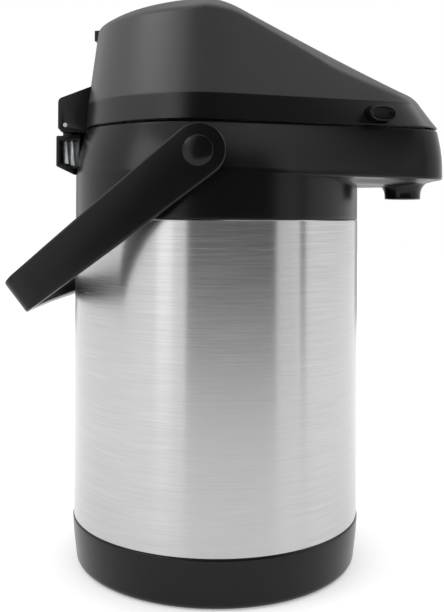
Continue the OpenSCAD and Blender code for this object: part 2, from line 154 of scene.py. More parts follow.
def turn_y(degrees):
    """Matrix of a turn about Y."""
    c, s = math.cos(math.radians(degrees)), math.sin(math.radians(degrees))
    return [[c, 0, s], [0, 1, 0], [-s, 0, c]]


def lie_along_y(side):
    """Matrix that lays a Z axis along +Y or -Y."""
    return [[side, 0, 0], [0, 0, side], [0, -1, 0]]


def arc(centre, radius, start, end, count):
    """Points on a circle's arc, from one angle to another in degrees."""
    angle = np.radians(np.linspace(start, end, count))
    return np.array(centre) + radius * np.stack([np.cos(angle), np.sin(angle)], -1)


def unit(rows):
    """Each row of a table of vectors at length one."""
    return rows / np.linalg.norm(rows, axis=1, keepdims=True)


def left_of(along):
    """Vectors turned a quarter to the left."""
    return np.stack([-along[:, 1], along[:, 0]], -1)


def ring_at(x, radius, bearing):
    """Plan points at a radius from the upright line through (x, 0), one for each bearing."""
    return np.stack([x + radius * np.cos(bearing), radius * np.sin(bearing)], -1)


def conic(first, peak, last, t, weight):
    """Points of a rational quadratic curve from first to last, drawn towards the peak by a weight."""
    mix = (1 - t) ** 2 + 2 * weight * t * (1 - t) + t ** 2
    return ((1 - t) ** 2 * first + 2 * weight * t * (1 - t) * peak + t ** 2 * last) / mix


def rounded(corners, steps=5):
    """Outline through (x, y, radius) corners, each corner cut by an arc tangent to both of its sides."""
    corners = np.array(corners, float)
    spots = corners[:, :2]
    before = unit(np.roll(spots, 1, 0) - spots)
    after = unit(np.roll(spots, -1, 0) - spots)
    half = np.arccos(np.clip((before * after).sum(1), -0.9999, 0.9999)) / 2
    reach = corners[:, 2] / np.tan(half)
    first = spots + before * reach[:, None]
    last = spots + after * reach[:, None]
    t = np.linspace(0, 1, steps)[None, :, None]
    weight = np.cos(np.pi / 2 - half)[:, None, None]
    curve = conic(first[:, None], spots[:, None], last[:, None], t, weight)
    keep = [curve[i] if corners[i, 2] > 0 else spots[i:i + 1] for i in range(len(corners))]
    return np.concatenate(keep)


def full_turn(count):
    """Evenly spaced angles once round, in radians."""
    return np.linspace(0, 2 * np.pi, count, endpoint=False)


def lathe(profile, centre=(0, 0), steps=AROUND, close=True):
    """A profile of (radius, height) points carried round an upright line."""
    profile = np.array(profile, float)
    angle = full_turn(steps)
    points = np.empty((len(profile), steps, 3))
    points[..., 0] = centre[0] + profile[:, :1] * np.cos(angle)
    points[..., 1] = centre[1] + profile[:, :1] * np.sin(angle)
    points[..., 2] = profile[:, 1:]
    return grid_shape(points, close=close)


def prism(outline, low, high):
    """An (x, z) outline carried along Y."""
    outline = np.array(outline, float)
    rows = np.empty((2, len(outline), 3))
    rows[..., 0] = outline[:, 0]
    rows[..., 2] = outline[:, 1]
    rows[0, :, 1] = low
    rows[1, :, 1] = high
    return grid_shape(rows, caps=True)


def block(low, high):
    """A box between two corners."""
    return prism([(low[0], low[2]), (high[0], low[2]), (high[0], high[2]), (low[0], high[2])], low[1], high[1])


def tube(path, radius, sides=16):
    """A round tube along a path, its rings square to the path and its ends closed."""
    path = np.array(path, float)
    along = unit(np.gradient(path, axis=0))
    up = np.where(np.abs(along[:, 2:]) > 0.9, [[1.0, 0, 0]], [[0, 0, 1.0]])
    across = unit(np.cross(along, up))
    upright = np.cross(across, along)
    angle = full_turn(sides)[None, :, None]
    rings = path[:, None] + radius * (across[:, None] * np.cos(angle) + upright[:, None] * np.sin(angle))
    return grid_shape(rings, caps=True)


# Plan of the head and lid

REAR_POINTS, SIDE_POINTS, NOSE_POINTS = 44, 36, 17


def half_plan(long_r, wide_r, nose_x, nose_r, leave_deg):
    """Half outline from rear to nose: an ellipse, a straight side and the nose's arc.

    The side leaves the ellipse at leave_deg from +X, and runs tangent to the nose's circle.
    """
    def ellipse(degrees):
        angle = np.radians(degrees)
        return np.stack([long_r * np.cos(angle), wide_r * np.sin(angle)], -1)

    rear = ellipse(np.linspace(180, 90, REAR_POINTS))
    centre = np.array([nose_x - nose_r, 0.0])
    start = ellipse(np.array([leave_deg]))[0]
    gap = start - centre
    touch = math.degrees(math.atan2(gap[1], gap[0]) - math.acos(min(nose_r / np.hypot(*gap), 1)))
    bend = ellipse(np.linspace(90, leave_deg, 20))
    nose = arc(centre, nose_r, touch, 0, NOSE_POINTS)
    run = np.concatenate([bend, nose[:1]])
    length = np.concatenate([[0], np.cumsum(np.linalg.norm(np.diff(run, axis=0), axis=1))])
    even = np.linspace(0, length[-1], SIDE_POINTS + 2)
    side = np.stack([np.interp(even, length, run[:, i]) for i in (0, 1)], -1)[1:-1]
    return np.concatenate([rear, side, nose])


def plan_loop(long_r, wide_r, nose_x, nose_r, leave_deg=90, soften=3.0):
    """Closed outline, anticlockwise from the rear, its kinks evened out by a bell-shaped average."""
    half = half_plan(long_r, wide_r, nose_x, nose_r, leave_deg)
    loop = np.concatenate([half * [1, -1], half[-2:0:-1]])
    if soften:
        reach = np.arange(-12, 13)
        bell = np.exp(-0.5 * (reach / soften) ** 2)
        smooth = sum(w * np.roll(loop, k, 0) for k, w in zip(reach, bell / bell.sum()))
        front = np.clip(loop[:, :1] / nose_x, 0, 1) ** 2
        loop = smooth + front * [nose_x - smooth[:, 0].max(), 0]
    return loop


def inset(loop, distance):
    """A loop moved inwards by a distance, square to itself."""
    return loop + distance * left_of(unit(np.roll(loop, -1, 0) - np.roll(loop, 1, 0)))


def level(loop, z):
    """A loop at one height, or at a height for each point."""
    return np.concatenate([loop, np.broadcast_to(np.reshape(z, (-1, 1)), (len(loop), 1))], 1)


# Pieces

def solid(name, shape):
    """An object made from a shape, in metres."""
    points, faces = shape
    mesh = bpy.data.meshes.new(name)
    mesh.from_pydata((points * MM).tolist(), [], faces)
    tidy_mesh(mesh)
    item = bpy.data.objects.new(name, mesh)
    bpy.context.scene.collection.objects.link(item)
    return item


def piece(name, shape, body, slot, replaces=(), bevel=0.0, cuts=(), material=None):
    """One object, cut if asked, with its edges rounded, riding on a body in the slot's finish or another."""
    item = solid(name, shape)
    for cut in cuts:
        carve(item, cut)
    if bevel:
        rounding = item.modifiers.new("rounding", "BEVEL")
        rounding.width = bevel * MM
        rounding.segments = 3
        rounding.limit_method = "ANGLE"
        rounding.angle_limit = math.radians(40)
        rounding.miter_outer = "MITER_ARC"
        apply_modifiers(item)
    item.data.shade_smooth()
    item.data.set_sharp_from_angle(angle=math.radians(35))
    item.data.materials.clear()
    item.data.materials.append(material or finish_for(slot))
    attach(item, body)
    if replaces:
        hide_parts(*replaces)
    return item


def tidy_mesh(mesh):
    """Merges doubled points, drops flat slivers and turns every face outwards."""
    work = bmesh.new()
    work.from_mesh(mesh)
    bmesh.ops.remove_doubles(work, verts=work.verts, dist=2e-6)
    bmesh.ops.dissolve_degenerate(work, edges=work.edges, dist=1e-6)
    bmesh.ops.recalc_face_normals(work, faces=work.faces)
    work.to_mesh(mesh)
    work.free()


def apply_modifiers(item):
    """Replaces an object's mesh with its modified one."""
    graph = bpy.context.evaluated_depsgraph_get()
    result = bpy.data.meshes.new_from_object(item.evaluated_get(graph))
    item.modifiers.clear()
    item.data = result


def carve(item, shape):
    """Cuts a shape out of an object."""
    cutter = solid("cutter", shape)
    knife = item.modifiers.new("cut", "BOOLEAN")
    knife.operation = "DIFFERENCE"
    knife.solver = "EXACT"
    knife.object = cutter
    apply_modifiers(item)
    bpy.data.objects.remove(cutter)


# Finishes

class Wire:
    """A number that varies over a surface; each arithmetic sign adds one Math node."""

    def __init__(self, finish, socket):
        self.finish = finish
        self.socket = socket

    def math(self, operation, first, second, clamp=False):
        node = self.finish.node("ShaderNodeMath", {"operation": operation, "use_clamp": clamp},
                                {0: first, 1: second})
        return Wire(self.finish, node.outputs[0])

    def __add__(self, other):
        return self.math("ADD", self, other)

    def __radd__(self, other):
        return self.math("ADD", other, self)

    def __sub__(self, other):
        return self.math("SUBTRACT", self, other)

    def __mul__(self, other):
        return self.math("MULTIPLY", self, other)

    def clamped(self):
        """The same number, held between 0 and 1."""
        return self.math("ADD", self, 0.0, clamp=True)


class Finish:
    """One material: a Principled shader whose patterns sit on the piece's own coordinates, in metres."""

    def __init__(self, name, fixed):
        self.material = bpy.data.materials.new(name)
        self.material.use_nodes = True
        self.tree = self.material.node_tree
        self.tree.nodes.clear()
        self.shader = self.node("ShaderNodeBsdfPrincipled", {}, fixed)
        self.node("ShaderNodeOutputMaterial", {}, {"Surface": self.shader.outputs[0]})
        self.place = self.node("ShaderNodeTexCoord", {}, {}).outputs["Object"]

    def node(self, kind, settings, inputs):
        """Adds a node: its settings first, then the values or links of its sockets."""
        node = self.tree.nodes.new(kind)
        for name, value in settings.items():
            setattr(node, name, value)
        for name, value in inputs.items():
            socket = value.socket if isinstance(value, Wire) else value
            if isinstance(socket, bpy.types.NodeSocket):
                self.tree.links.new(socket, node.inputs[name])
            else:
                node.inputs[name].default_value = socket
        return node

    def noise(self, scale, detail=2.0, stretch=(1, 1, 1), shift=(0, 0, 0)):
        """Cloudy noise, with a scale in waves a metre, pulled along the axes by stretch."""
        turned = self.node("ShaderNodeMapping", {}, {"Vector": self.place, "Scale": stretch, "Location": shift})
        node = self.node("ShaderNodeTexNoise", {}, {"Vector": turned.outputs[0], "Scale": scale, "Detail": detail})
        return Wire(self, node.outputs[0])

    def part(self, axis):
        """One of the piece's coordinates, in metres."""
        split = self.node("ShaderNodeSeparateXYZ", {}, {0: self.place})
        return Wire(self, split.outputs[axis])

    def mix(self, share, low, high):
        """A colour between two colours."""
        node = self.node("ShaderNodeMix", {"data_type": "RGBA"}, {0: share, 6: low, 7: high})
        return node.outputs[2]

    def feed(self, **sockets):
        """Links patterns to the shader; names use _ for a space."""
        for name, value in sockets.items():
            socket = value.socket if isinstance(value, Wire) else value
            self.tree.links.new(socket, self.shader.inputs[name.replace("_", " ")])

    def bump(self, height, distance, strength=1.0):
        """Raises the surface by a pattern, by a distance in metres."""
        node = self.node("ShaderNodeBump", {}, {"Strength": strength, "Distance": distance, "Height": height})
        self.feed(Normal=node.outputs[0])


def rgba(colour, share=1.0):
    """A colour with its alpha, made lighter or darker by a share."""
    return (*[min(c * share, 1.0) for c in colour], 1.0)


def black_plastic(name, colour, roughness):
    """Moulded satin plastic: fine spark grain, and a faint cloudiness in its colour and gloss."""
    finish = Finish(name, {"Metallic": 0.0, "IOR": 1.46, "Specular IOR Level": 0.27})
    grain = finish.noise(2600.0, 3.0)
    cloud = finish.noise(35.0, 3.0, shift=(0.3, 0.1, 0.7))
    finish.feed(Base_Color=finish.mix(cloud, rgba(colour, 0.8), rgba(colour, 1.25)),
                Roughness=roughness - 0.05 + cloud * 0.06 + grain * 0.05)
    finish.bump(grain, 0.000008, 0.5)
    return finish.material


def lid_plastic(name, colour, painted_shade_colour, roughness, crease):
    """Charcoal plastic with a slightly coarser spark grain; below the lid's crease the colour is painted shade,
    darkened to black where the upright band catches less light.
    """
    finish = Finish(name, {"Metallic": 0.0, "IOR": 1.49})
    # Share above the crease keeps the charcoal; the upright band below gets painted shade in black, and a little less
    # roughness.
    above = ((finish.part(2) - crease) * 2500.0).clamped()
    grain = finish.noise(2200.0, 3.0)
    cloud = finish.noise(28.0, 3.0)
    upper = finish.mix(cloud, rgba(colour, 0.93), rgba(colour, 1.07))
    finish.feed(Base_Color=finish.mix(above, rgba(painted_shade_colour), upper),
                Roughness=roughness - 0.08 + above * 0.06 + cloud * 0.04 + grain * 0.05)
    finish.bump(grain, 0.000012, 0.5)
    return finish.material


def brushed_steel(name, colour, roughness):
    """Stainless steel brushed around the body: long hair lines from two stretched noises."""
    finish = Finish(name, {"Metallic": 1.0, "Anisotropic": 0.9, "Anisotropic Rotation": 0.25})
    fine = finish.noise(1.0, 3.0, stretch=(45.0, 45.0, 4200.0))
    hair = finish.noise(1.0, 4.0, stretch=(26.0, 26.0, 2000.0), shift=(4.0, 1.0, 2.0))
    tone = (fine * 0.5 + hair * 0.5 - 0.32) * 2.8
    finish.feed(Base_Color=finish.mix(tone.clamped(), rgba(colour, 0.87), rgba(colour, 1.13)),
                Roughness=roughness - 0.1 + hair * 0.1 + fine * 0.1)
    finish.bump(fine + hair * 0.8, 0.00002, 0.3)
    return finish.material


def plain_steel(name, colour, roughness):
    """Drawn or spun steel with faint rings and a little wear."""
    finish = Finish(name, {"Metallic": 1.0})
    rings = finish.noise(1.0, 3.0, stretch=(60.0, 60.0, 2400.0))
    spots = finish.noise(180.0, 3.0)
    finish.feed(Base_Color=finish.mix(spots, rgba(colour, 0.9), rgba(colour, 1.05)),
                Roughness=roughness - 0.05 + rings * 0.08 + spots * 0.04)
    finish.bump(rings, 0.00001, 0.3)
    return finish.material


def soft_plastic(name, colour, roughness, grain_scale):
    """Unpainted grey plastic or rubber: matt, with an even grain."""
    finish = Finish(name, {"Metallic": 0.0, "IOR": 1.47})
    grain = finish.noise(grain_scale, 3.0)
    cloud = finish.noise(60.0, 2.0)
    finish.feed(Base_Color=finish.mix(cloud, rgba(colour, 0.88), rgba(colour, 1.1)),
                Roughness=roughness - 0.04 + grain * 0.08)
    finish.bump(grain, 0.00006, 0.4)
    return finish.material


def streaked_grey(name, colour):
    """Pale grey: lighter and darker upright streaks over a fine mottle."""
    finish = Finish(name, {"Metallic": 0.0, "IOR": 1.47})
    streak = finish.noise(1.0, 4.0, stretch=(420.0, 420.0, 70.0))
    mottle = finish.noise(900.0, 3.0, shift=(0.2, 0.5, 0.1))
    share = ((streak - 0.38) * 3.0 + (mottle - 0.5) * 0.5).clamped()
    finish.feed(Base_Color=finish.mix(share, rgba(colour, 0.9), rgba(colour, 5.0)), Roughness=0.4 + streak * 0.2)
    finish.bump(streak, 0.0002, 0.5)
    return finish.material


def plain_matt(name, colour, roughness, glow=0.0):
    """Even studio surface with a faint mottle, and a little light of its own where it has to stay pale."""
    finish = Finish(name, {"Metallic": 0.0, "Emission Color": (1, 1, 1, 1), "Emission Strength": glow})
    mottle = finish.noise(6.0, 2.0)
    finish.feed(Base_Color=finish.mix(mottle, rgba(colour, 0.985), rgba(colour)), Roughness=roughness + mottle * 0.02)
    return finish.material


def finish_for(slot):
    """The material of a record slot, made on first use from the scene's colours."""
    name = "airpot_" + slot
    made = bpy.data.materials.get(name)
    if made:
        return made
    look = bpy.context.scene.airpot_finish
    if slot == "satin_plastic":
        return black_plastic(name, look.body_black, look.body_gloss)
    if slot == "lid_plastic":
        # The body's black is passed in as the painted shade of the lid's upright band below the crease.
        return lid_plastic(name, look.lid_charcoal, look.body_black, look.lid_gloss,
                           bpy.context.scene.airpot_shape.crease_z + 0.0002)
    if slot == "brushed_steel":
        return brushed_steel(name, look.steel, look.steel_gloss)
    if slot == "plain_steel":
        return plain_steel(name, look.steel, look.steel_gloss)
    if slot == "grey_plastic":
        return soft_plastic(name, look.grey, 0.45, 1500.0)
    if slot == "black_rubber":
        return soft_plastic(name, look.rubber, 0.6, 900.0)
    raise ValueError("no finish is written for slot " + slot)


# Lid

def shape_mm(name):
    """A size from the scene's settings, in millimetres."""
    return getattr(bpy.context.scene.airpot_shape, name) / MM


def seam_loop():
    """Outline of the head and lid at the seam between them."""
    return plan_loop(SEAM_LONG, SEAM_WIDE, shape_mm("nose_x"), shape_mm("nose_r"))


def roof_z(x, y):
    """Height of the lid's top: a shallow dome at the rear met by a slope that falls to the nose.

    The dome rises from the wall by 14 (1 - exp(-distance / 17)). The slope falls evenly with x and sags
    with the square of the share of the half width. The two meet in a short quadratic blend.
    """
    x, y = np.broadcast_arrays(np.asarray(x, float), np.asarray(y, float))
    wide, long, taper, blend = 62.3, 70.9, 0.42, 5
    side = np.abs(y)
    rear_gap = wide * (1 - np.sqrt((np.minimum(x, 0) / long) ** 2 + (y / wide) ** 2))
    front_gap = wide - taper * x - side
    gap = np.clip(np.where(x < 0, rear_gap, front_gap), -2, None)
    crown = shape_mm("crown_z")
    dome = crown - 15.5 + 0.028 * (x + 71) + 14 * (1 - np.exp(-gap / 17))
    sag = 9.8 - 8.3 * np.clip((x - 66) / 46, 0, 1) ** 1.3
    half = np.clip(62 - taper * x, 12, None)
    slope = crown - 0.519 * (x - 8) - sag * np.clip(side / half, 0, 1.1) ** 2
    near = np.clip(blend - np.abs(dome - slope), 0, None) / blend
    return np.minimum(dome, slope) - near ** 2 * blend / 4


def on_roof(flat, rise=0.0):
    """Plan points raised to the lid's top, or a little off it."""
    return level(flat, roof_z(flat[:, 0], flat[:, 1]) + rise)


def lid_outline(z):
    """Outline of the lid's wall at a height for each point: straight from foot to crease and on to the top."""
    foot = seam_loop()
    crease = plan_loop(77, 70.5, shape_mm("nose_x") - 10.0, shape_mm("nose_r") - 2.2)
    high = plan_loop(70.7, 62, 95, 18)
    crease_z = shape_mm("crease_z")
    z = np.broadcast_to(np.reshape(z, (-1, 1)), (len(foot), 1))
    low_share = np.clip((z - LID_FOOT) / (crease_z - LID_FOOT), 0, 1)
    high_share = np.clip((z - crease_z) / (310 - crease_z), 0, None)
    return foot + low_share * (crease - foot) + high_share * (high - crease)


def lid_form():
    """The lid: wall, rounded edge, roof, the button's well, and the inside of the same skin.

    The edge is where the wall meets the roof, found by repeating z = roof(outline(z)). The roof's rows
    run straight in plan from that edge to the well's circle.
    """
    edge_z = np.full(len(seam_loop()), 300.0)
    for _ in range(40):
        edge = lid_outline(edge_z)
        edge_z = 0.5 * edge_z + 0.5 * roof_z(edge[:, 0], edge[:, 1])
    edge = lid_outline(edge_z)
    bearing = np.arctan2(edge[:, 1], edge[:, 0] - BUTTON_X)
    well_r = BUTTON_R + 0.5
    hole = ring_at(BUTTON_X, well_r, bearing)
    reach = np.linalg.norm(edge - hole, axis=1)
    soft = 1.6 + 1.8 * np.clip((edge[:, 0] - 60) / 50, 0, 1)

    def roof_row(share):
        return on_roof(edge + (hole - edge) * share[:, None])

    rows = [level(inset(lid_outline(LID_FOOT), 0.5), LID_FOOT), level(lid_outline(LID_FOOT), LID_FOOT + 0.5)]
    crease_z = shape_mm("crease_z")
    for s in (0.35, 0.7, 0.95, 1.0):
        z = LID_FOOT + (crease_z - LID_FOOT) * s
        rows.append(level(lid_outline(z), z))
    for s in np.linspace(0.04, 1, 7):
        z = crease_z + (edge_z - soft - crease_z) * s
        rows.append(level(lid_outline(z), z))
    low = rows[-1]
    peak = level(edge, edge_z)
    high = roof_row(soft / reach)
    rows += [conic(low, peak, high, t, 0.75) for t in (0.2, 0.4, 0.6, 0.8)]
    for s in np.linspace(0, 1, 26)[:-1]:
        rows.append(roof_row(soft / reach + (1 - soft / reach) * s))
    rows += [on_roof(ring_at(BUTTON_X, radius, bearing), rise)
             for radius, rise in arc((well_r + 0.6, -0.6), 0.6, 90, 180, 4)]
    for grow, z in ((0, 296), (0, WELL_FLOOR + 0.3), (0.3, WELL_FLOOR), (2, WELL_FLOOR), (2, 296)):
        rows.append(level(ring_at(BUTTON_X, well_r + grow, bearing), z))
    wide = ring_at(BUTTON_X, well_r + 2, bearing)
    inner = inset(lid_outline(np.minimum(edge_z - 3.2, 306)), WALL)
    ceiling = roof_z(wide[:, 0], wide[:, 1]) - 3.0
    for s in np.linspace(0, 1, 9):
        flat = wide + (inner - wide) * s
        rows.append(level(flat, np.minimum(roof_z(flat[:, 0], flat[:, 1]) - 3.0, ceiling)))
    rows += [level(inset(lid_outline(z), WALL), z) for z in (crease_z, LID_FOOT)]
    return grid_shape(np.stack(rows), close=True)


def button_form():
    """The pump button: rings round its upright line, crowned like the roof, with a turned-down skirt."""
    def ring(radius, drop=0.0, z=None):
        flat = ring_at(BUTTON_X, radius, full_turn(128))
        return level(flat, roof_z(flat[:, 0], flat[:, 1]) - drop if z is None else z)

    round_r = 0.9
    rows = [ring(r) for r in (0.0, 4, 8, 12, 16, 20, 24, 28, 31, 33, BUTTON_R - round_r)]
    rows += [ring(BUTTON_R - round_r + round_r * math.sin(a), round_r * (1 - math.cos(a)))
             for a in (0.4, 0.8, 1.2, 1.57)]
    rows += [ring(BUTTON_R - inward, z=BUTTON_LOW[2] + up) for inward, up in ((0, 0.4), (0.4, 0), (1.6, 0), (2, 0.4))]
    rows += [ring(r, 2.6) for r in (BUTTON_R - 2.4, 28, 20, 12, 6, 0.0)]
    return grid_shape(np.stack(rows))


# Head

def underside_z(gap):
    """Height of the beak's underside, which bulges down by 3.7 (1 - exp(-(0.8 gap / 9)^2)) inside its outline."""
    return BEAK_LOW - 3.7 * (1 - np.exp(-(0.8 * gap / 9) ** 2))


def head_form():
    """The head's skin: wall, beak, domed underside, collar and the inside of the same skin.

    Each row is a loop round the body. The underside runs along rays from the beak's outline to the
    collar's circle. The foot of the wall is eased by a quarter of an oval: 1.4 wide and high on the
    beak, and 1.1 high with no width where the wall meets the collar.
    """
    collar_r, ease = SHELL_R - 0.2, 1.4
    top, top_z = seam_loop(), SEAM_FOOT
    beak = plan_loop(collar_r, collar_r, BEAK_NOSE, shape_mm("nose_r"), leave_deg=57, soften=2.0)
    bearing = np.arctan2(beak[:, 1], beak[:, 0])
    ray = ring_at(0, 1, bearing)
    far = np.linalg.norm(beak, axis=1)
    beak = np.where((far < collar_r + 0.05)[:, None], ray * collar_r, beak)
    far = np.maximum(far, collar_r)
    out = np.clip((far - collar_r) / 12, 0, 1)
    rows = [level(inset(top, 1.0), top_z), level(inset(top, 0.5), top_z), level(inset(top, 0.15), top_z - 0.15),
            level(top, top_z - 0.5)]
    for s in np.linspace(0.03, 1, 12):
        bow = 0.9 * math.sin(math.pi * s)
        flat = top + (beak - top) * s
        rows.append(level(inset(flat, -bow), top_z - 0.5 + (BEAK_LOW + ease - top_z + 0.5) * s))
    gap = far - collar_r
    soft = ease * out
    for turn in np.radians((25, 50, 75, 90)):
        flat = beak - ray * (soft * (1 - math.cos(turn)))[:, None]
        drop = (ease - 0.3 * (1 - out)) * math.sin(turn)
        rows.append(level(flat, BEAK_LOW + ease - drop))
    for s in np.linspace(0.06, 1, 14):
        flat = beak - ray * (soft + (gap - soft) * s)[:, None]
        inside = np.minimum(gap, soft + (gap - soft) * s)
        rows.append(level(flat, np.where(gap > 0.2, underside_z(inside), 219.9)))
    circle = ray * collar_r
    join_z = np.minimum(rows[-1][:, 2] - 0.5, COLLAR_TOP)
    foot = HEAD_LOW[2]
    rows.append(level(circle, join_z))
    for s in (0.3, 0.6, 0.9):
        rows.append(level(circle, join_z + (foot + 0.6 - join_z) * s))
    for radius, z in arc((collar_r - 0.6, foot + 0.6), 0.6, 0, -90, 5):
        rows.append(level(ray * radius, z))
    bore = collar_r - 2.6
    for radius, z in ((bore + 0.3, foot), (bore, foot + 0.3), (bore, 210), (bore, 218)):
        rows.append(level(ray * radius, z))
    for s in (0.3, 0.65, 1.0):
        rows.append(level(ray * bore * (1 - s) + inset(top, WALL) * s, 218 + 26 * s))
    rows += [level(inset(top, WALL), top_z - 0.6), level(inset(top, WALL - 0.5), top_z - 0.1)]
    return grid_shape(np.stack(rows), close=True)


def deck_form():
    """The head's deck, from the stopper's hole to the wall, and the floor ring that rests on the neck."""
    top = inset(seam_loop(), WALL - 0.2)
    ray = ring_at(0, 1, np.arctan2(top[:, 1], top[:, 0]))
    rim = 43.8
    hole = ray * (rim + 0.6)
    rows = [level(ray * radius, z) for radius, z in (
        (rim + 0.6, DECK_TOP), (rim + 0.15, 245.85), (rim, 245.4), (rim, 243.8), (rim + 0.3, DECK_LOW))]
    rows += [level(hole + (top - hole) * s, DECK_LOW) for s in (0.3, 0.7, 1.0)]
    rows += [level(hole + (top - hole) * s, DECK_TOP) for s in (1.0, 0.7, 0.3)]
    ring = lathe([(33, 221.5), (80.7, 221.5), (80.7, 224), (33, 224)])
    return joined(grid_shape(np.stack(rows), close=True), ring)


def latch_spot(side, shape):
    """Moves a shape from a latch's own frame, X along the wall and Y outward, to its place on one side."""
    wall = half_plan(SEAM_LONG, SEAM_WIDE, shape_mm("nose_x"), shape_mm("nose_r"), 90)
    first, last = wall[REAR_POINTS + 4], wall[REAR_POINTS + SIDE_POINTS - 4]
    lean = math.degrees(math.atan2(last[1] - first[1], last[0] - first[0]))
    low, high = box_mm("latch_button_left")
    x = (low[0] + high[0]) / 2 - 0.4
    y = first[1] + (last[1] - first[1]) * (x - first[0]) / (last[0] - first[0])
    points, faces = moved(shape, (x, y, LATCH_Z), turn_z(lean))
    return points * [1, side, 1], faces if side > 0 else [face[::-1] for face in faces]


def oval_row(length, height, y, count=64):
    """A ring at a distance y: an ellipse made fuller, by the 0.86th power of its cosine and sine."""
    angle = full_turn(count)
    x, z = [half * np.sign(wave) * np.abs(wave) ** 0.86
            for half, wave in ((length / 2, np.cos(angle)), (height / 2, np.sin(angle)))]
    return np.stack([x, np.full(count, float(y)), z], -1)


def latch_form():
    """A latch button: oval rings from the middle of its dished face over the rim and back to its flange."""
    sizes = [(0, 0, 2.9), (8, 3.6, 2.9), (12.4, 5.9, 3.0), (13.2, 6.4, 3.3), (13.5, 6.7, 4.0), (13.8, 7.0, 4.45),
             (14.4, 7.5, 4.6), (15.1, 8.2, 4.5), (15.7, 8.8, 4.1), (15.9, 9, 3.2), (15.9, 9, -4.6), (20, 11.5, -4.6),
             (20, 11.5, -6.2), (0, 0, -6.2)]
    face = grid_shape(np.stack([oval_row(*size) for size in sizes]))
    return joined(moved(face, (LATCH_SLIDE, 0, 0)), block((-4, -6.2, -13.6), (4, -4.7, 0)),
                  block((-4, -4.7, -14), (4, -3.3, -12.4)))


def nozzle_form():
    """The spout: a flare that leaves the beak's underside in a fillet, a short tube and its bore.

    The flare is a quarter of an oval between the tube and a circle on the underside.
    """
    angle = full_turn(128)
    wide, tube_r, tube_z = 16.6, 10.2, 211.4
    nose = shape_mm("nose_r")
    reach = np.linalg.norm(ring_at(NOZZLE_X - (BEAK_NOSE - nose), wide, angle), axis=1)
    roof = underside_z(np.clip(nose - reach, 0, None)) + 0.12

    def ring(radius, z):
        return level(ring_at(NOZZLE_X, radius, angle), z)

    rows = [ring(wide + 0.3, roof + 1.2), ring(wide + 0.1, roof + 0.2)]
    for share in np.linspace(1, 0, 15):
        turn = share * math.pi / 2
        rows.append(ring(tube_r + (wide - tube_r) * (1 - math.cos(turn)), tube_z + (roof - tube_z) * math.sin(turn)))
    rows.append(ring(10.15, 209.9))
    rows += [ring(r, z) for r, z in arc((9.6, 209.8), 0.6, 0, -90, 4)]
    rows += [ring(r, z) for r, z in arc((8.8, 209.8), 0.6, -90, -180, 4)]
    rows += [ring(8.2, 214), ring(8.2, 219.4), ring(12, roof + 2.0)]
    return grid_shape(np.stack(rows), close=True)


# Hinge

def bracket_form():
    """The hinge's fixed half: a wedge on the head's rear, slanted below."""
    x, front, step = BRACKET_LOW[0], -77.4, 226.2
    outline = rounded([(x, 227.6, 0.8), (x, BRACKET_TOP, 0.8), (front, BRACKET_TOP, 0), (front, step, 0),
                       (BRACKET_REAR, step, 0), (BRACKET_REAR, BRACKET_LOW[2], 0)])
    return prism(outline, -HINGE_HALF, HINGE_HALF)


def bracket_pocket(side):
    """The open pocket in one side of the bracket."""
    x, top = BRACKET_LOW[0] + 2.8, BRACKET_TOP - 2.8
    outline = rounded([(x, 229.4, 0.5), (x, top, 0.5), (-78.6, top, 0), (-78.6, 228.4, 0), (-82.5, 226.6, 0.5)])
    return prism(outline, side * 13 - 12, side * 13 + 12)


def bracket_ribs_form():
    """Grey ribs that stand in both pockets: a web in the middle, and a sheet and two slanted vanes a side."""
    web = prism([(-89.4, 229.8), (-89.4, 242.2), (-79, 242.2), (-79, 228.6), (-82.4, 227.0)], -1, 1)
    vanes = [prism([(x, 229.0 - 0.25 * (x + 86)), (x, 242.4), (x + 0.9, 242.4), (x + 2.2, 228.6 - 0.25 * (x + 86))],
                   side * 10.5 - 9.4, side * 10.5 + 9.4) for x in (-87.2, -83.6) for side in (-1, 1)]
    sheets = [prism([(-89.2, 230.0), (-89.2, 242.2), (-78.9, 242.2), (-78.9, 228.8), (-82.4, 227.2)],
                    side * 15.5 - 0.4, side * 15.5 + 0.4) for side in (-1, 1)]
    return joined(web, *sheets, *vanes)


def bracket_tongue_form():
    """The tongue that carries the hinge pin: a block with a round top."""
    x, z, r = HINGE_X, HINGE_Z, 3.6
    return prism([(x - r, 243.6), (x + r, 243.6)] + arc((x, z), r, 0, 180, 17).tolist(), -14, 14)


def hinge_cover_form():
    """The lid's hinge hood: sloping top, rounded rear edge and a cut rear foot."""
    x, foot = COVER_LOW[0], COVER_LOW[2]
    outline = rounded([(-71, foot, 0), (-71, 274.0, 0), (x, 266.9, 3), (x, foot + 2.4, 0.5), (x + 2.2, foot, 0.5)])
    return prism(outline, -HINGE_HALF, HINGE_HALF)


def hood_hollow():
    """The room inside the hood for the tongue, open below and at the rear, and the pin's hole."""
    pin = moved(lathe([(0, -30), (1.3, -30), (1.3, 30), (0, 30)], steps=32, close=False), (HINGE_X, 0, HINGE_Z),
                lie_along_y(1))
    room = prism([(-95, 240), (-95, 258.5), (-88.4, 258.5), (-88.4, 262), (-75, 262), (-75, 240)], -14.6, 14.6)
    return [room, pin]


# Handle

